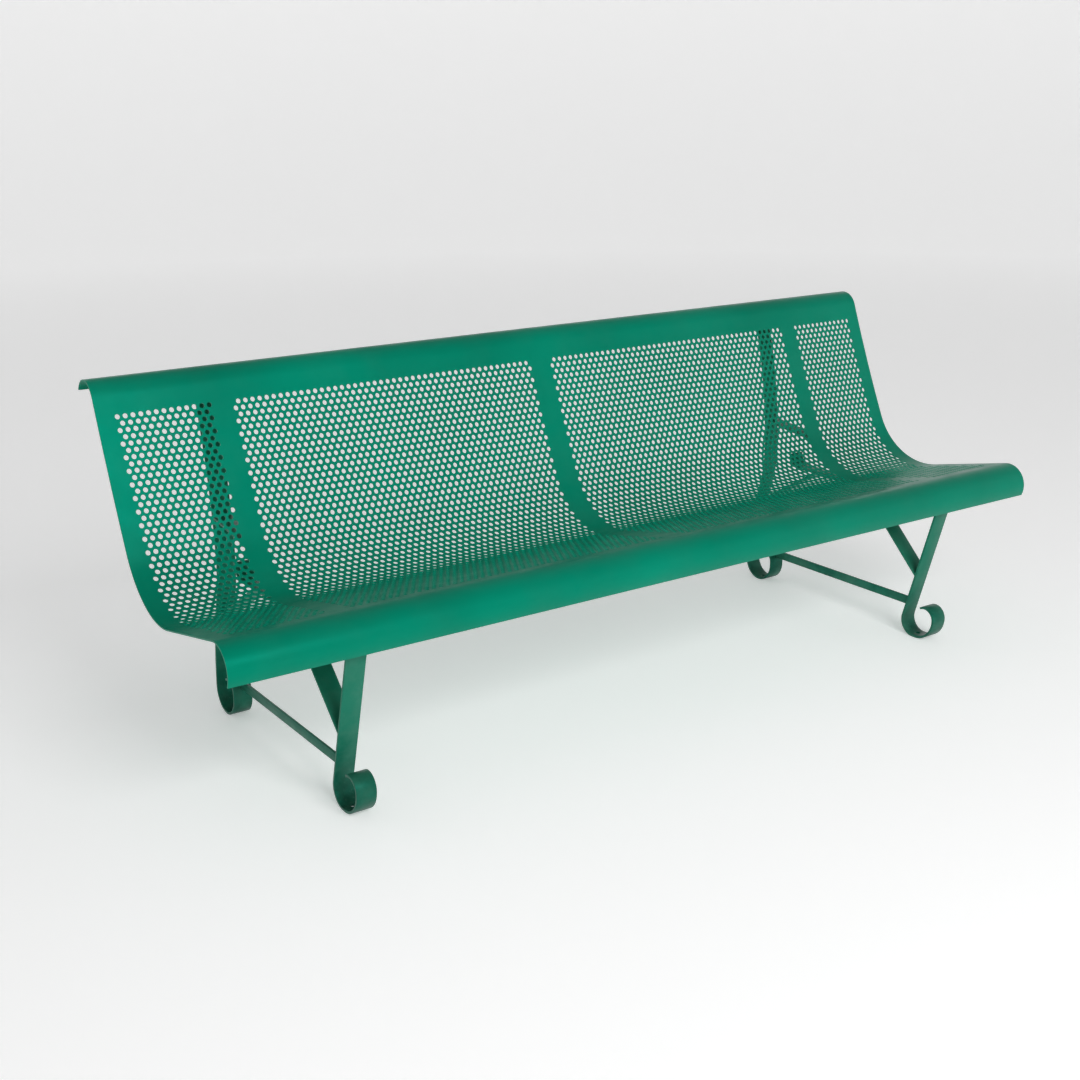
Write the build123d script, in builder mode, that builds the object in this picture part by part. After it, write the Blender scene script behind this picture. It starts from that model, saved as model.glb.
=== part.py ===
from build123d import *
from math import atan2, cos, degrees, radians, sin
import os

# Park bench: one bent sheet makes the seat and the back, on two scrolled flat-bar frames.
# Millimetres, +Z up, floor at Z = 0. X runs along the bench and the sitter faces -Y.

bench_length = 1984.0
sheet_t = 2.5
gap = 0.3

# Side outline of the sheet, walked over its sitting side from the front lip to the rear lip.
nose_centre = (-278.79, 338.5)
nose_r = 47.0
nose_lip_angle = 207.0
seat_slope = -12.2
seat_run = 215.0
bend_r = 165.0
back_lean_low = 65.3
back_lean_top = 69.5
back_r = 3860.0
back_rise = 13.0
crest_r = 43.0
crest_turn = 134.0

# Frames, all of one flat bar except the stretcher.
frame_x = 746.0
bar_w = 40.0
bar_t = 5.0

# Front leg: hooks inside the nose, leans back going down and ends in a scroll.
hook_tab = 30.0
hook_nest_turn = 12.2
hook_r = 26.7
front_lean = 16.1
front_heel_r = 34.0
front_toe_flat = 6.0
front_toe_r = 50.5
front_curl_r = 26.0
curl_turn = 120.0

# Rear leg: nests inside the crest, bows forward behind the bend and ends in a scroll.
crest_nest_angle = 75.0
neck_r = 150.0
bow_turn = 15.6
bow_r = 1133.0
knee_r = 270.0
knee_turn = 18.5
shin_r = 780.0
shin_turn = 15.5
rear_heel_r = 44.0
rear_toe_r = 44.5
rear_toe_rise = 10.0
rear_curl_r = 25.0

# Seat rail: runs under the seat, levels out below the bend and ends in an upturned tip.
rail_seat_run = 195.0
rail_ease_r = 190.0
rail_level_run = 160.0
rail_tip_r = 28.0
rail_tip_turn = 80.0
rail_tip_run = 8.0

# Braces between the main bars.
stretcher_z = 77.0
stretcher_h = 20.0
front_brace_z = 151.0
front_brace_slope = 44.2
rear_brace_from_tip = 56.0
rear_brace_shin_turn = 3.8
strut_bend_turn = 69.2
strut_bow_turn = 11.4

# Anchor holes through the soles of the four scrolls.
anchor_d = 11.0


def step(place, heading, length):
    """The point at the given length from place along heading, in degrees."""
    return (place[0] + length * cos(radians(heading)), place[1] + length * sin(radians(heading)))


def walk(place, heading, moves):
    """The end point and heading of a chain of ("line", length) and ("arc", radius, turn) moves."""
    for move in moves:
        if move[0] == "line":
            place = step(place, heading, move[1])
        else:
            side = 90 if move[2] > 0 else -90
            centre = step(place, heading + side, move[1])
            heading += move[2]
            place = step(centre, heading - side, move[1])
    return place, heading


def meet(place, heading, other, other_heading):
    """Where the line through place along heading crosses the line through other."""
    across = (other[0] - place[0], other[1] - place[1])
    along = (cos(radians(other_heading)), sin(radians(other_heading)))
    turn = sin(radians(other_heading - heading))
    return step(place, heading, (across[0] * along[1] - across[1] * along[0]) / turn)


def draw_side(place, heading, moves, shift):
    """Draw a chain moved sideways by shift, positive to its left, and return its two ends."""
    first = step(place, heading + 90, shift)
    last = first
    for move in moves:
        if move[0] == "line":
            edge = Line(last, step(last, heading, move[1]))
        else:
            radius = move[1] - shift if move[2] > 0 else move[1] + shift
            edge = JernArc(start=last, tangent=step((0, 0), heading, 1), radius=radius, arc_size=move[2])
            heading += move[2]
        last = ((edge @ 1).X, (edge @ 1).Y)
    return first, last


def draw_strip(place, heading, moves, left, right):
    """Closed outline of the strip between two sideways shifts of one chain."""
    first_left, last_left = draw_side(place, heading, moves, left)
    first_right, last_right = draw_side(place, heading, moves, right)
    Line(first_left, first_right)
    Line(last_left, last_right)


def draw_brace(start, start_face, end, end_face):
    """Closed outline of a straight bar whose ends are cut along the faces that they rest on."""
    heading = degrees(atan2(end[1] - start[1], end[0] - start[0]))
    upper = step(start, heading + 90, bar_t / 2)
    lower = step(start, heading - 90, bar_t / 2)
    Polyline(
        meet(upper, heading, start, start_face),
        meet(upper, heading, end, end_face),
        meet(lower, heading, end, end_face),
        meet(lower, heading, start, start_face),
        close=True,
    )


def save(piece, name):
    piece.part.label = name
    export_step(piece.part, f"parts/{name}.step")


os.makedirs("parts", exist_ok=True)

# Sheet chain, on the sitting side.
sheet_start = step(nose_centre, nose_lip_angle, nose_r)
sheet_heading = nose_lip_angle - 90
sheet_moves = [
    ("arc", nose_r, seat_slope - sheet_heading),
    ("line", seat_run),
    ("arc", bend_r, back_lean_low - seat_slope),
    ("arc", back_r, back_lean_top - back_lean_low),
    ("line", back_rise),
    ("arc", crest_r, -crest_turn),
]
back_end, back_heading = walk(sheet_start, sheet_heading, sheet_moves[:-1])
crest_centre = step(back_end, back_heading - 90, crest_r)

# Front leg chain, from its joint with the rail down to the scroll tip. Its straight run is as
# long as the sole needs to reach the floor.
nest_inset = sheet_t + gap + bar_t / 2
nose_joint = step(nose_centre, 90 + seat_slope, nose_r - nest_inset)
rail_start = step(nose_joint, seat_slope, hook_tab)
front_hook_moves = [
    ("line", hook_tab),
    ("arc", nose_r - nest_inset, hook_nest_turn),
    ("arc", hook_r, 90 + front_lean - seat_slope - hook_nest_turn),
]
front_scroll_moves = [
    ("arc", front_heel_r, -90 - front_lean),
    ("line", front_toe_flat),
    ("arc", front_toe_r, -90),
    ("arc", front_curl_r, -curl_turn),
]
hook_end, front_heading = walk(rail_start, 180 + seat_slope, front_hook_moves)
sole = walk(hook_end, front_heading, front_scroll_moves[:1])[0]
front_run = (sole[1] - bar_t / 2) / cos(radians(front_lean))
front_moves = front_hook_moves + [("line", front_run)] + front_scroll_moves
front_foot_y = walk(rail_start, 180 + seat_slope, front_moves[:-3])[0][0]

# Rear leg chain, from the crest down to the scroll tip, with its upright run in the bow.
rear_start = step(crest_centre, crest_nest_angle, crest_r - nest_inset)
rear_heading = crest_nest_angle - 90
rear_top_moves = [
    ("arc", crest_r - nest_inset, -90 - rear_heading),
    ("arc", neck_r, -bow_turn),
    ("arc", bow_r, bow_turn),
]
rear_low_moves = [
    ("arc", knee_r, knee_turn),
    ("arc", shin_r, -shin_turn),
    ("arc", rear_heel_r, shin_turn - knee_turn - 90),
    ("arc", rear_toe_r, -90),
    ("line", rear_toe_rise),
    ("arc", rear_curl_r, -curl_turn),
]
sole = walk(rear_start, rear_heading, rear_top_moves + rear_low_moves[:3])[0]
rear_moves = rear_top_moves + [("line", sole[1] - bar_t / 2)] + rear_low_moves
rear_foot_y = sole[0]
curl_start, curl_heading = walk(rear_start, rear_heading, rear_moves[:-1])
curl_centre = step(curl_start, curl_heading - 90, rear_curl_r)

# Seat rail chain, from its joint with the front leg to its tip.
rail_moves = [
    ("line", rail_seat_run),
    ("arc", rail_ease_r, -seat_slope),
    ("line", rail_level_run),
    ("arc", rail_tip_r, rail_tip_turn),
    ("line", rail_tip_run),
]
rail_level_end = walk(rail_start, seat_slope, rail_moves[:3])[0]

# Ends of the braces, on the faces of the bars.
leg_rear_face = step(hook_end, front_heading + 90, bar_t / 2)
front_brace_low = meet((0, front_brace_z), 0, leg_rear_face, front_heading)
rail_under = step(rail_start, seat_slope - 90, bar_t / 2)
front_brace_top = meet(front_brace_low, front_brace_slope, rail_under, seat_slope)
rear_brace_top = (rail_level_end[0] - rear_brace_from_tip, rail_level_end[1] - bar_t / 2)
shin_moves = rear_moves[:5] + [("arc", shin_r, -rear_brace_shin_turn)]
shin_point, shin_heading = walk(rear_start, rear_heading, shin_moves)
rear_brace_low = step(shin_point, shin_heading - 90, bar_t / 2 + gap)
bend_moves = sheet_moves[:2] + [("arc", bend_r, strut_bend_turn)]
bend_point, bend_heading = walk(sheet_start, sheet_heading, bend_moves)
strut_front = step(bend_point, bend_heading - 90, sheet_t + gap)
bow_moves = rear_moves[:2] + [("arc", bow_r, strut_bow_turn)]
bow_point, bow_heading = walk(rear_start, rear_heading, bow_moves)
strut_rear = step(bow_point, bow_heading - 90, bar_t / 2 + gap)

with BuildPart() as sheet:
    with BuildSketch(Plane.YZ.offset(-bench_length / 2)):
        with BuildLine():
            draw_strip(sheet_start, sheet_heading, sheet_moves, 0, -sheet_t)
        make_face()
    extrude(amount=bench_length)
save(sheet, "sheet")

for side, x in (("left", -frame_x), ("right", frame_x)):
    bar_plane = Plane.YZ.offset(x - bar_w / 2)

    with BuildPart() as front_leg:
        with BuildSketch(bar_plane):
            with BuildLine():
                draw_strip(rail_start, 180 + seat_slope, front_moves, bar_t / 2, -bar_t / 2)
            make_face()
        extrude(amount=bar_w)
        with Locations((x, front_foot_y, 2 * bar_t)):
            Hole(anchor_d / 2, depth=3 * bar_t)
    save(front_leg, f"{side}_front_leg")

    with BuildPart() as rear_leg:
        with BuildSketch(bar_plane):
            with BuildLine():
                draw_strip(rear_start, rear_heading, rear_moves, bar_t / 2, -bar_t / 2)
            make_face()
        extrude(amount=bar_w)
        with Locations((x, rear_foot_y, 2 * bar_t)):
            Hole(anchor_d / 2, depth=3 * bar_t)
    save(rear_leg, f"{side}_rear_leg")

    with BuildPart() as seat_rail:
        with BuildSketch(bar_plane):
            with BuildLine():
                draw_strip(rail_start, seat_slope, rail_moves, bar_t / 2, -bar_t / 2)
            make_face()
        extrude(amount=bar_w)
    save(seat_rail, f"{side}_seat_rail")

    with BuildPart() as front_brace:
        with BuildSketch(bar_plane):
            with BuildLine():
                draw_brace(front_brace_low, front_heading, front_brace_top, seat_slope)
            make_face()
        extrude(amount=bar_w)
    save(front_brace, f"{side}_front_brace")

    with BuildPart() as rear_brace:
        with BuildSketch(bar_plane):
            with BuildLine():
                draw_brace(rear_brace_top, 0, rear_brace_low, shin_heading)
            make_face()
        extrude(amount=bar_w)
    save(rear_brace, f"{side}_rear_brace")

    with BuildPart() as back_strut:
        with BuildSketch(bar_plane):
            with BuildLine():
                draw_brace(strut_front, bend_heading, strut_rear, bow_heading)
            make_face()
        extrude(amount=bar_w)
    save(back_strut, f"{side}_back_strut")

    # The stretcher stands on edge and its rear end is cut to the curl of the rear scroll.
    low_z = stretcher_z - stretcher_h / 2
    high_z = stretcher_z + stretcher_h / 2
    with BuildPart() as stretcher:
        with BuildSketch(Plane.YZ.offset(x - bar_t / 2)):
            with BuildLine():
                Polyline(
                    meet((0, low_z), 0, leg_rear_face, front_heading),
                    meet((0, high_z), 0, leg_rear_face, front_heading),
                    (curl_centre[0] - rear_curl_r / 2, high_z),
                    (curl_centre[0] - rear_curl_r / 2, low_z),
                    close=True,
                )
            make_face()
            with Locations(curl_centre):
                Circle(rear_curl_r + bar_t / 2 + gap, mode=Mode.SUBTRACT)
        extrude(amount=bar_t)
    save(stretcher, f"{side}_stretcher")
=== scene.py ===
from math import ceil, cos, floor, radians, sin, sqrt

import bmesh
import bpy
from mathutils import Euler, Matrix, Vector


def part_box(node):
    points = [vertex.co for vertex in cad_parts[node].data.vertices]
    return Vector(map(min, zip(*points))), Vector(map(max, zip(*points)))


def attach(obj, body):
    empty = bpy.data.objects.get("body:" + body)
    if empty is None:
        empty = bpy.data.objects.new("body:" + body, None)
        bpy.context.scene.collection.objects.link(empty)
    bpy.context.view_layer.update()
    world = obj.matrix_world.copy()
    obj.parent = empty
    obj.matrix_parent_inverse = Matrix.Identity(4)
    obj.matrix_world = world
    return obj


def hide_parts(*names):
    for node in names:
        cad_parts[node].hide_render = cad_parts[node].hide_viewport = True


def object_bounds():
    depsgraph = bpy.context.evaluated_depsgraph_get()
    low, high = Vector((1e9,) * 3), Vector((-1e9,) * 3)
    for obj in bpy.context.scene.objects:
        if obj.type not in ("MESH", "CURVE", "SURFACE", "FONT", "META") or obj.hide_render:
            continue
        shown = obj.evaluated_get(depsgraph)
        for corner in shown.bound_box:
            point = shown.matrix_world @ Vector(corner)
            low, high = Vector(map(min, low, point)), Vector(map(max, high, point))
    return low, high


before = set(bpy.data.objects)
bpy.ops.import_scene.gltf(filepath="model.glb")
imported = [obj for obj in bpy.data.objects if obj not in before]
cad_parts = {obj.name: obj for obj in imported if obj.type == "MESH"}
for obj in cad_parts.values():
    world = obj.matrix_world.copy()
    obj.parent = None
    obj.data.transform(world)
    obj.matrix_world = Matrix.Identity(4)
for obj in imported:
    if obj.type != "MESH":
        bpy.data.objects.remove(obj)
cadBox = [list(corner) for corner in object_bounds()]
print("frame loaded, box", cadBox)


def addNode(tree, kind, inputs=None, **settings):
    node = tree.nodes.new(kind)
    for name, value in settings.items():
        setattr(node, name, value)
    for key, value in (inputs or {}).items():
        fits = [s for s in node.inputs if s.enabled and s.name == key]
        socket = node.inputs[key] if isinstance(key, int) else fits[0]
        if isinstance(value, bpy.types.NodeSocket):
            tree.links.new(value, socket)
        else:
            socket.default_value = value
    return node


def output(node, name=None):
    # the shown output of that name, or the first shown one
    return [s for s in node.outputs if s.enabled and name in (None, s.name)][0]


def calc(tree, operation, *values):
    return output(addNode(tree, "ShaderNodeMath", dict(enumerate(values)), operation=operation))


def newTree(name, inputs):
    tree = bpy.data.node_groups.new(name, "GeometryNodeTree")
    for label, kind in [("Geometry", "NodeSocketGeometry")] + inputs:
        tree.interface.new_socket(label, in_out="INPUT", socket_type=kind)
    tree.interface.new_socket("Geometry", in_out="OUTPUT", socket_type="NodeSocketGeometry")
    return tree, tree.nodes.new("NodeGroupInput").outputs


def endTree(tree, geometry, material):
    made = addNode(tree, "GeometryNodeRealizeInstances", {"Geometry": geometry})
    painted = addNode(tree, "GeometryNodeSetMaterial", {"Geometry": output(made), "Material": material})
    end = tree.nodes.new("NodeGroupOutput")
    tree.links.new(output(painted), end.inputs["Geometry"])


def newObject(name, mesh):
    piece = bpy.data.objects.new(name, mesh)
    bpy.context.scene.collection.objects.link(piece)
    return piece


def growMesh(piece, tree, values):
    # run the tree on the piece and keep the result as its plain mesh
    modifier = piece.modifiers.new("grow", "NODES")
    modifier.node_group = tree
    for item in tree.interface.items_tree:
        if item.in_out == "INPUT" and item.name in values:
            modifier[item.identifier] = values[item.name]
    bpy.context.view_layer.update()
    grown = piece.evaluated_get(bpy.context.evaluated_depsgraph_get())
    mesh = bpy.data.meshes.new_from_object(grown)
    old = piece.data
    piece.modifiers.remove(modifier)
    piece.data = mesh
    if isinstance(old, bpy.types.Mesh):
        bpy.data.meshes.remove(old)
    return piece


def smoothMesh(mesh, sharpAngle=32):
    # outward normals, smooth shading, sharp edges kept
    shell = bmesh.new()
    shell.from_mesh(mesh)
    bmesh.ops.recalc_face_normals(shell, faces=shell.faces)
    shell.to_mesh(mesh)
    shell.free()
    mesh.shade_smooth()
    mesh.set_sharp_from_angle(angle=radians(sharpAngle))


def finishPiece(piece, slot, *nodes):
    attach(piece, "root")
    if nodes:
        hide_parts(*nodes)
    mesh = piece.data
    print("made", piece.name, sum(len(face.vertices) - 2 for face in mesh.polygons), "triangles")


# emerald satin gloss paint, a little chalked on the frames

paint = {
    "sheetColours": ((0.0004, 0.222, 0.134, 1), (0.0004, 0.178, 0.106, 1)),
    "frameColours": ((0.02, 0.178, 0.112, 1), (0.005, 0.125, 0.075, 1)),
    "sheetFilm": 0.04,
    "frameFilm": 0.35,
    "dustColour": (0.10, 0.235, 0.17, 1),
    # painted shade near the floor: a dark colour that the paint fades into below this height, in patches
    # of this size
    "paintedShadeColour": (0.004, 0.05, 0.032, 1),
    "paintedShadeHeight": 0.16,
    "paintedShadeSize": 0.03,
    "filmSize": 0.09,
    "cloudSize": 0.35,
    "specular": 0.26,
    "specularTint": (0.03, 1.0, 0.75, 1),
    "roughness": 0.33,
    "glossSize": 0.05,
    "dustRoughness": 0.5,
    "peelSize": 0.0022,
    "peelDepth": 0.00006,
    "waveSize": 0.11,
    "waveDepth": 0.0006,
    "scuffHeight": 0.05,
    "scuffSize": 0.006,
    "scuffAmount": 0.55,
}


def paintMaterial(name, colours, filmAmount):
    material = bpy.data.materials.new(name)
    material.use_nodes = True
    tree = material.node_tree
    shader = tree.nodes["Principled BSDF"]
    place = output(addNode(tree, "ShaderNodeTexCoord"), "Object")

    def noise(size, detail=3.0, roughness=0.5):
        values = {"Vector": place, "Scale": 1 / size, "Detail": detail, "Roughness": roughness}
        return output(addNode(tree, "ShaderNodeTexNoise", values))

    def remap(value, low, high, start, end):
        values = {"Value": value, "From Min": low, "From Max": high, "To Min": start, "To Max": end}
        return output(addNode(tree, "ShaderNodeMapRange", values))

    def mix(factor, first, second):
        node = addNode(tree, "ShaderNodeMix", data_type="RGBA")
        for socket, value in zip([s for s in node.inputs if s.enabled], (factor, first, second)):
            if isinstance(value, bpy.types.NodeSocket):
                tree.links.new(value, socket)
            else:
                socket.default_value = value
        return output(node)

    # cloudy tone, painted shade low on the feet (darker towards the floor), then chalked dust and scuffs
    # near the floor
    cloud = remap(noise(paint["cloudSize"], 4), 0.35, 0.65, 0.0, 1.0)
    clean = mix(cloud, *colours)
    height = output(addNode(tree, "ShaderNodeSeparateXYZ", {"Vector": place}), "Z")
    # painted shade: the paint darkens towards the floor in patches, standing in for the shade low on the
    # feet
    paintedShadeFalloff = remap(height, 0.0, paint["paintedShadeHeight"], 1.0, 0.0)
    paintedShadePatches = remap(noise(paint["paintedShadeSize"], 5, 0.6), 0.35, 0.6, 0.45, 1.0)
    base = mix(calc(tree, "MULTIPLY", paintedShadeFalloff, paintedShadePatches), clean, paint["paintedShadeColour"])
    low = remap(height, 0.0, paint["scuffHeight"], 1.0, 0.0)
    speck = remap(noise(paint["scuffSize"], 6, 0.7), 0.56, 0.7, 0.0, 1.0)
    scuff = calc(tree, "MULTIPLY", calc(tree, "MULTIPLY", low, speck), paint["scuffAmount"])
    film = remap(noise(paint["filmSize"], 5, 0.6), 0.42, 0.72, 0.0, filmAmount)
    dust = calc(tree, "ADD", film, scuff)
    coloured = mix(dust, base, paint["dustColour"])
    tree.links.new(coloured, shader.inputs["Base Color"])
    least, most = paint["roughness"] - 0.05, paint["roughness"] + 0.07
    gloss = remap(noise(paint["glossSize"], 4), 0.3, 0.7, least, most)
    chalky = calc(tree, "MULTIPLY", dust, paint["dustRoughness"])
    tree.links.new(calc(tree, "ADD", gloss, chalky), shader.inputs["Roughness"])
    peel = calc(tree, "MULTIPLY", noise(paint["peelSize"], 2), paint["peelDepth"])
    wave = calc(tree, "MULTIPLY", noise(paint["waveSize"], 1), paint["waveDepth"])
    bumpValues = {"Height": calc(tree, "ADD", peel, wave), "Strength": 1.0, "Distance": 1.0}
    bump = addNode(tree, "ShaderNodeBump", bumpValues)
    tree.links.new(output(bump), shader.inputs["Normal"])
    shader.inputs["Specular IOR Level"].default_value = paint["specular"]
    shader.inputs["Specular Tint"].default_value = paint["specularTint"]
    return material


sheetPaint = paintMaterial("sheetPaint", paint["sheetColours"], paint["sheetFilm"])
framePaint = paintMaterial("framePaint", paint["frameColours"], paint["frameFilm"])

# one bent sheet: nose, seat, bend, back and crest, with staggered round holes

sheetShape = {
    "noseCentre": (-0.27879, 0.3385),
    "noseRadius": 0.047,
    "lipAngle": 207.0,
    "seatSlope": -12.2,
    "seatRun": 0.215,
    "bendRadius": 0.165,
    "leanLow": 65.3,
    "leanTop": 69.5,
    "backRadius": 3.86,
    "backRise": 0.013,
    "crestRadius": 0.043,
    "crestTurn": 134.0,
    "thickness": 0.0025,
    "holeDiameter": 0.010,
    "pitch": 0.015,
    "rows": 52,
    "firstRowDrop": 0.0407,
    "panels": ((2, 48), (51.5, 63.5)),  # holed columns each side of the middle, in pitches
    "cuts": (-50, 0, 50),
    "bandStep": 0.0055,
}


def sheetMoves():
    # (length, turn in degrees, heading at the start) of each stretch of the side outline
    shape = sheetShape
    heading = shape["lipAngle"] - 90
    turns = (
        (shape["noseRadius"], shape["seatSlope"] - heading),
        (None, shape["seatRun"]),
        (shape["bendRadius"], shape["leanLow"] - shape["seatSlope"]),
        (shape["backRadius"], shape["leanTop"] - shape["leanLow"]),
        (None, shape["backRise"]),
        (shape["crestRadius"], -shape["crestTurn"]),
    )
    moves = []
    for radius, turn in turns:
        if radius is None:
            moves.append((turn, 0.0, heading))
        else:
            moves.append((radius * abs(radians(turn)), turn, heading))
            heading += turn
    return moves


def sheetOutline(step=0.0015):
    # points down the middle of each short step, walked with the exact turn of its stretch
    (y, z), radius = sheetShape["noseCentre"], sheetShape["noseRadius"]
    angle = radians(sheetShape["lipAngle"])
    y, z = y + radius * cos(angle), z + radius * sin(angle)
    points = [(0.0, y, z)]
    for length, turn, heading in sheetMoves():
        count = ceil(length / step)
        part = radians(turn) / count
        chord = length / count if turn == 0 else 2 * length / radians(turn) * sin(part / 2)
        for index in range(count):
            along = radians(heading) + part * (index + 0.5)
            y += chord * cos(along)
            z += chord * sin(along)
            points.append((0.0, y, z))
    return points


def polyCurve(name, points):
    curve = bpy.data.curves.new(name, "CURVE")
    curve.dimensions = "3D"
    line = curve.splines.new("POLY")
    line.points.add(len(points) - 1)
    for point, place in zip(line.points, points):
        point.co = (*place, 1)
    return newObject(name, curve)


def punchTree():
    # flat blank in X and Y: cells marked "holed" get a round hole, the blank gets its
    # thickness, and it is bent so that its Y runs along the side outline
    tree, given = newTree("punchAndBend", [
        ("Side Outline", "NodeSocketObject"),
        ("Hole Diameter", "NodeSocketFloat"),
        ("Pitch", "NodeSocketFloat"),
        ("Thickness", "NodeSocketFloat"),
        ("Paint", "NodeSocketMaterial"),
    ])
    band = addNode(tree, "GeometryNodeInputNamedAttribute", {"Name": "band"}, data_type="BOOLEAN")
    holed = addNode(tree, "GeometryNodeInputNamedAttribute", {"Name": "holed"}, data_type="BOOLEAN")
    split = addNode(tree, "GeometryNodeSeparateGeometry",
                    {"Geometry": given["Geometry"], "Selection": output(band)}, domain="FACE")
    cells = addNode(tree, "GeometryNodeDualMesh",
                    {"Mesh": output(split, "Inverted"), "Keep Boundaries": True})
    sorts = addNode(tree, "GeometryNodeSeparateGeometry",
                    {"Geometry": output(cells), "Selection": output(holed)}, domain="FACE")

    # one holed hexagonal cell, set on the middle of every holed cell
    corner = calc(tree, "DIVIDE", given["Pitch"], sqrt(3))
    radius = calc(tree, "MULTIPLY", given["Hole Diameter"], 0.5)
    hexagon = addNode(tree, "GeometryNodeCurvePrimitiveCircle", {"Resolution": 6, "Radius": corner})
    turned = addNode(tree, "GeometryNodeTransform",
                     {"Geometry": output(hexagon), "Rotation": (0, 0, radians(30))})
    hole = addNode(tree, "GeometryNodeCurvePrimitiveCircle", {"Resolution": 12, "Radius": radius})
    loops = addNode(tree, "GeometryNodeJoinGeometry", {"Geometry": output(turned)})
    tree.links.new(output(hole), loops.inputs[0])
    ring = addNode(tree, "GeometryNodeFillCurve", {"Curve": output(loops)})
    middles = addNode(tree, "GeometryNodeMeshToPoints", {"Mesh": output(sorts, "Selection")}, mode="FACES")
    rings = addNode(tree, "GeometryNodeInstanceOnPoints",
                    {"Points": output(middles), "Instance": output(ring)})
    realRings = addNode(tree, "GeometryNodeRealizeInstances", {"Geometry": output(rings)})

    whole = addNode(tree, "GeometryNodeJoinGeometry", {"Geometry": output(realRings)})
    tree.links.new(output(sorts, "Inverted"), whole.inputs[0])
    tree.links.new(output(split, "Selection"), whole.inputs[0])
    welded = addNode(tree, "GeometryNodeMergeByDistance", {"Geometry": output(whole), "Distance": 0.00005})

    # thickness: the extruded side and the first side make one closed shell
    down = addNode(tree, "ShaderNodeCombineXYZ", {"Z": -1.0})
    walls = addNode(tree, "GeometryNodeExtrudeMesh", {
        "Mesh": output(welded), "Offset": output(down),
        "Offset Scale": given["Thickness"], "Individual": False,
    }, mode="FACES")
    flipped = addNode(tree, "GeometryNodeFlipFaces", {"Mesh": output(welded)})
    both = addNode(tree, "GeometryNodeJoinGeometry", {"Geometry": output(walls, "Mesh")})
    tree.links.new(output(flipped), both.inputs[0])
    shell = addNode(tree, "GeometryNodeMergeByDistance", {"Geometry": output(both), "Distance": 0.00005})

    # bend: Y becomes the length along the outline, Z the distance from its sitting side
    place = addNode(tree, "GeometryNodeInputPosition")
    parts = addNode(tree, "ShaderNodeSeparateXYZ", {"Vector": output(place)})
    outline = addNode(tree, "GeometryNodeObjectInfo", {"Object": given["Side Outline"]})
    spot = addNode(tree, "GeometryNodeSampleCurve", {
        "Curves": output(outline, "Geometry"), "Length": output(parts, "Y"),
    }, mode="LENGTH", use_all_curves=True)
    way = addNode(tree, "ShaderNodeSeparateXYZ", {"Vector": output(spot, "Tangent")})
    back = calc(tree, "MULTIPLY", output(way, "Z"), -1.0)
    across = addNode(tree, "ShaderNodeCombineXYZ", {"Y": back, "Z": output(way, "Y")})
    offset = addNode(tree, "ShaderNodeVectorMath",
                     {0: output(across), "Scale": output(parts, "Z")}, operation="SCALE")
    side = addNode(tree, "ShaderNodeCombineXYZ", {"X": output(parts, "X")})
    onLine = addNode(tree, "ShaderNodeVectorMath",
                     {0: output(spot, "Position"), 1: output(offset)}, operation="ADD")
    moved = addNode(tree, "ShaderNodeVectorMath", {0: output(onLine), 1: output(side)}, operation="ADD")
    bent = addNode(tree, "GeometryNodeSetPosition",
                   {"Geometry": output(shell), "Position": output(moved)})
    endTree(tree, output(bent), given["Paint"])
    return tree


def addBand(blank, marks, columns, start, end):
    # plain quads between two lengths, with the given X of each column
    count = ceil((end - start) / sheetShape["bandStep"])
    rows = []
    for index in range(count + 1):
        along = start + (end - start) * index / count
        rows.append([blank.verts.new((x, along, 0)) for x in columns])
    for low, high in zip(rows, rows[1:]):
        for index in range(len(columns) - 1):
            face = blank.faces.new((low[index], low[index + 1], high[index + 1], high[index]))
            face[marks["band"]] = True


def sheetBlank(name, left, right):
    # flat blank between two cuts, in pitches: a staggered triangle lattice whose inner
    # points are hole middles, and plain bands beyond its first and last rows
    shape = sheetShape
    pitch = shape["pitch"]
    rowDrop = pitch * sqrt(3) / 2
    lengths = [move[0] for move in sheetMoves()]
    firstRow = sum(lengths[:-1]) - shape["firstRowDrop"]
    blank = bmesh.new()
    marks = {"band": blank.faces.layers.bool.new("band"), "holed": blank.verts.layers.bool.new("holed")}
    rows = []
    for row in range(shape["rows"] + 2):
        stagger = 0.5 * (row % 2)
        points = []
        for column in range(floor(left) - 2, ceil(right) + 3):
            x = min(max(column + stagger, left), right)
            point = blank.verts.new((x * pitch, firstRow + rowDrop * (1 - row), 0))
            inPanel = any(low <= abs(x) <= high for low, high in shape["panels"])
            point[marks["holed"]] = inPanel and 0 < row <= shape["rows"]
            points.append(point)
        rows.append(points)
    for row, (high, low) in enumerate(zip(rows, rows[1:])):
        for index in range(len(high) - 1):
            if row % 2:
                blank.faces.new((high[index], low[index], low[index + 1]))
                blank.faces.new((high[index], low[index + 1], high[index + 1]))
            else:
                blank.faces.new((high[index], low[index], high[index + 1]))
                blank.faces.new((high[index + 1], low[index], low[index + 1]))
    bmesh.ops.remove_doubles(blank, verts=blank.verts, dist=0.0001)
    ends = ((rows[-1], 0.0), (rows[0], sum(lengths)))
    edges = []
    for row, limit in ends:
        places = sorted({point.co.x for point in row if point.is_valid})
        middles = [(a + b) / 2 for a, b in zip(places, places[1:])]
        height = next(point.co.y for point in row if point.is_valid)
        edges.append((sorted(places + middles), min(height, limit), max(height, limit)))
    for columns, start, end in edges:
        addBand(blank, marks, columns, start, end)
    mesh = bpy.data.meshes.new(name)
    blank.to_mesh(mesh)
    blank.free()
    return newObject(name, mesh)


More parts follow.
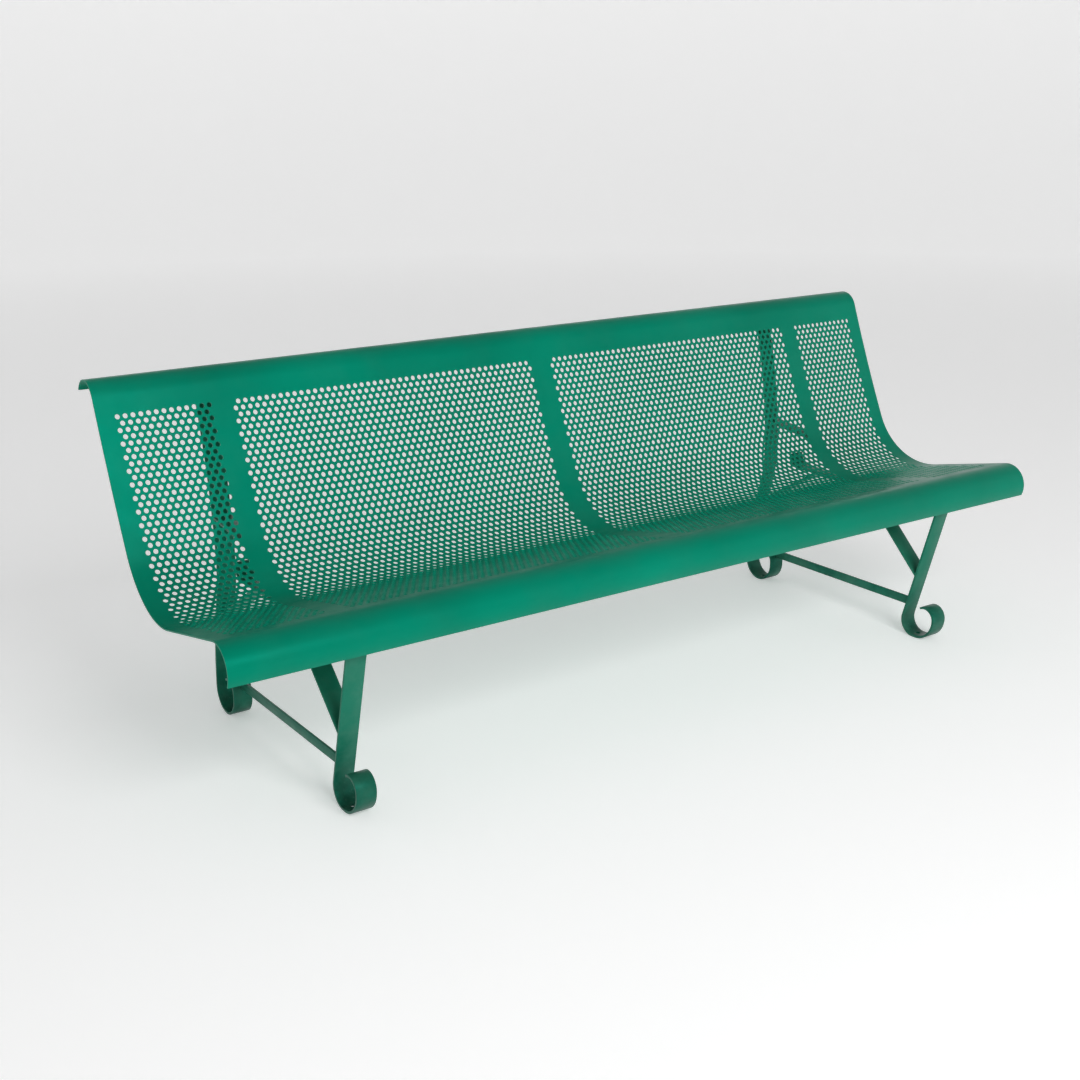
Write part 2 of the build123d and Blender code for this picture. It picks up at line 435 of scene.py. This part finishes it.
def makeSheet():
    outline = polyCurve("sideOutline", sheetOutline())
    tree = punchTree()
    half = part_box("sheet")[1].x / sheetShape["pitch"]
    cuts = (-half, *sheetShape["cuts"], half)
    names = ("sheetLeftEnd", "sheetLeftMiddle", "sheetRightMiddle", "sheetRightEnd")
    for name, left, right in zip(names, cuts, cuts[1:]):
        piece = growMesh(sheetBlank(name, left, right), tree, {
            "Side Outline": outline,
            "Hole Diameter": sheetShape["holeDiameter"],
            "Pitch": sheetShape["pitch"],
            "Thickness": sheetShape["thickness"],
            "Paint": sheetPaint,
        })
        smoothMesh(piece.data)
        finishPiece(piece, "sheet_paint", "sheet")
    bpy.data.objects.remove(outline)


makeSheet()

# flat bars of the two frames, with slightly rounded edges

barShape = {"edgeRadius": 0.0008, "edgeSteps": 2, "sharpAngle": 40}


def makeBar(name, node):
    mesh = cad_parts[node].data.copy()
    shell = bmesh.new()
    shell.from_mesh(mesh)
    bmesh.ops.remove_doubles(shell, verts=shell.verts, dist=0.00001)
    bmesh.ops.dissolve_limit(shell, angle_limit=radians(0.5), verts=shell.verts, edges=shell.edges)
    corners = [edge for edge in shell.edges if edge.calc_face_angle(0) > radians(barShape["sharpAngle"])]
    bmesh.ops.bevel(shell, geom=corners, offset=barShape["edgeRadius"], segments=barShape["edgeSteps"],
                    profile=0.5, affect="EDGES", clamp_overlap=True)
    shell.to_mesh(mesh)
    shell.free()
    mesh.materials.clear()
    mesh.materials.append(framePaint)
    piece = newObject(name, mesh)
    smoothMesh(mesh, barShape["sharpAngle"])
    finishPiece(piece, "frame_paint", node)


barNames = ("front_leg", "rear_leg", "seat_rail", "front_brace", "rear_brace", "back_strut", "stretcher")
for side in ("left", "right"):
    for bar in barNames:
        words = bar.split("_")
        makeBar(side + "".join(word.capitalize() for word in words) + "Bar", f"{side}_{bar}")
print("bars made")

# weld beads: overlapping lumps laid along the ends of the straight bars and under the seat

weld = {
    "beadSize": 0.0042,
    "beadPitch": 0.0024,
    "spread": 0.2,
    "edgeMargin": 0.0022,
    "stitchStarts": (0.03, 0.1, 0.17),  # from the nose, along the straight seat
    "stitchLength": 0.025,
    "sharpAngle": 75,
}


def weldTree():
    tree, given = newTree("weldBeads", [
        ("Bead Size", "NodeSocketFloat"),
        ("Bead Pitch", "NodeSocketFloat"),
        ("Spread", "NodeSocketFloat"),
        ("Paint", "NodeSocketMaterial"),
    ])
    line = addNode(tree, "GeometryNodeMeshToCurve", {"Mesh": given["Geometry"]})
    spots = addNode(tree, "GeometryNodeCurveToPoints",
                    {"Curve": output(line), "Length": given["Bead Pitch"]}, mode="LENGTH")
    lump = addNode(tree, "GeometryNodeMeshIcoSphere", {"Radius": 0.5, "Subdivisions": 1})
    least = calc(tree, "SUBTRACT", 1.0, given["Spread"])
    factor = addNode(tree, "FunctionNodeRandomValue", {"Min": least, "Max": 1.0, "Seed": 7},
                     data_type="FLOAT")
    size = calc(tree, "MULTIPLY", output(factor), given["Bead Size"])
    turn = addNode(tree, "FunctionNodeRandomValue", {"Max": (6.28, 6.28, 6.28), "Seed": 3},
                   data_type="FLOAT_VECTOR")
    beads = addNode(tree, "GeometryNodeInstanceOnPoints", {
        "Points": output(spots), "Instance": output(lump), "Rotation": output(turn), "Scale": size,
    })
    endTree(tree, output(beads), given["Paint"])
    return tree


def barPoints(node):
    return {tuple(round(value, 5) for value in corner.co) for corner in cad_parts[node].data.vertices}


def weldLines(side):
    # runs of points, from the corners of the CAD bars of one frame
    runs = []
    margin = Vector((weld["edgeMargin"], 0, 0))
    for bar in ("front_brace", "rear_brace", "back_strut"):
        low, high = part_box(f"{side}_{bar}")
        for y, z in sorted({point[1:] for point in barPoints(f"{side}_{bar}")}):
            runs.append([Vector((low.x, y, z)) + margin, Vector((high.x, y, z)) - margin])
    low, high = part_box(f"{side}_stretcher")
    spots = barPoints(f"{side}_stretcher")
    middle = (low.y + high.y) / 2
    for x in (low.x, high.x):
        for front in (True, False):
            end = [spot for spot in spots if abs(spot[0] - x) < 0.001 and (spot[1] < middle) == front]
            runs.append([Vector(spot) for spot in sorted(end, key=lambda spot: spot[2])])
    heading = radians(sheetShape["seatSlope"])
    along = Vector((0, cos(heading), sin(heading)))
    normal = Vector((0, -sin(heading), cos(heading)))
    inside = sheetShape["noseRadius"] - sheetShape["thickness"]
    top = Vector((0, *sheetShape["noseCentre"])) + normal * inside
    low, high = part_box(f"{side}_seat_rail")
    for x in (low.x, high.x):
        for start in weld["stitchStarts"]:
            first = top + along * start + Vector((x, 0, 0))
            runs.append([first, first + along * weld["stitchLength"]])
    return runs


def makeWelds(name, side, tree):
    points, edges = [], []
    for run in weldLines(side):
        edges += [(len(points) + index, len(points) + index + 1) for index in range(len(run) - 1)]
        points += run
    mesh = bpy.data.meshes.new(name)
    mesh.from_pydata(points, edges, [])
    piece = growMesh(newObject(name, mesh), tree, {
        "Bead Size": weld["beadSize"],
        "Bead Pitch": weld["beadPitch"],
        "Spread": weld["spread"],
        "Paint": framePaint,
    })
    smoothMesh(piece.data, weld["sharpAngle"])
    finishPiece(piece, "frame_paint")


beadTree = weldTree()
makeWelds("leftWelds", "left", beadTree)
makeWelds("rightWelds", "right", beadTree)
print("welds made")

# floor, light and camera

studio = {
    "paperColour": (0.9, 0.9, 0.9, 1),
    "paperGlow": 0.3,
    "paperRadius": 9.0,
    "sweepRadius": 2.5,
    "wallHeight": 4.0,
    "sweepSteps": 12,
    "turnSteps": 72,
    "worldStrength": 0.26,
    "keyPower": 98,
    "keyPlace": (-0.5, -3.9, 2.7),
    "keyTarget": (0, 0, 0.4),
    "keySize": (2.2, 1.6),
    "lens": 48.52,
    "eye": (-1.7986, -2.4102, 1.2333),
    "tilt": -17.08,
    "turn": -34.22,
    "roll": -0.66,
}


def makePaper():
    # a round paper floor that sweeps up into a low wall
    material = bpy.data.materials.new("floorPaper")
    material.use_nodes = True
    shader = material.node_tree.nodes["Principled BSDF"]
    shader.inputs["Base Color"].default_value = studio["paperColour"]
    shader.inputs["Roughness"].default_value = 0.9
    shader.inputs["Specular IOR Level"].default_value = 0.1
    shader.inputs["Emission Color"].default_value = (1, 1, 1, 1)
    shader.inputs["Emission Strength"].default_value = studio["paperGlow"]
    reach, sweep = studio["paperRadius"], studio["sweepRadius"]
    profile = [(0.0, 0.0)]
    steps = studio["sweepSteps"]
    for index in range(steps + 1):
        angle = radians(90 * index / steps)
        profile.append((reach + sweep * sin(angle), sweep * (1 - cos(angle))))
    profile.append((reach + sweep, sweep + studio["wallHeight"]))
    paper = bmesh.new()
    line = [paper.verts.new((x, 0, z)) for x, z in profile]
    edges = [paper.edges.new(pair) for pair in zip(line, line[1:])]
    bmesh.ops.spin(paper, geom=line + edges, axis=(0, 0, 1), cent=(0, 0, 0),
                   steps=studio["turnSteps"], angle=radians(360), use_duplicate=False)
    bmesh.ops.remove_doubles(paper, verts=paper.verts, dist=0.0001)
    bmesh.ops.translate(paper, verts=paper.verts, vec=(0, 0, cadBox[0][2]))
    mesh = bpy.data.meshes.new("paperFloor")
    paper.to_mesh(mesh)
    paper.free()
    smoothMesh(mesh)
    mesh.materials.append(material)
    newObject("paperFloor", mesh)


def makeKey():
    light = bpy.data.lights.new("softKey", "AREA")
    light.shape = "RECTANGLE"
    light.size, light.size_y = studio["keySize"]
    light.energy = studio["keyPower"]
    lamp = newObject("softKey", light)
    lamp.location = studio["keyPlace"]
    aim = Vector(studio["keyTarget"]) - Vector(studio["keyPlace"])
    lamp.rotation_euler = aim.to_track_quat("-Z", "Y").to_euler()


def makeStudio():
    makePaper()
    world = bpy.data.worlds.new("studio")
    world.use_nodes = True
    sky = world.node_tree.nodes["Background"]
    sky.inputs["Color"].default_value = (1, 1, 1, 1)
    sky.inputs["Strength"].default_value = studio["worldStrength"]
    bpy.context.scene.world = world
    makeKey()
    bpy.context.scene.view_settings.view_transform = "Standard"
    camera = bpy.data.cameras.new("camera")
    camera.lens = studio["lens"]
    camera.sensor_width = 36.0
    view = newObject("camera", camera)
    turn = Euler((radians(90 + studio["tilt"]), 0, radians(studio["turn"]))).to_matrix()
    roll = Matrix.Rotation(radians(studio["roll"]), 3, "Z")
    view.matrix_world = Matrix.Translation(studio["eye"]) @ (turn @ roll).to_4x4()
    bpy.context.scene.camera = view


makeStudio()
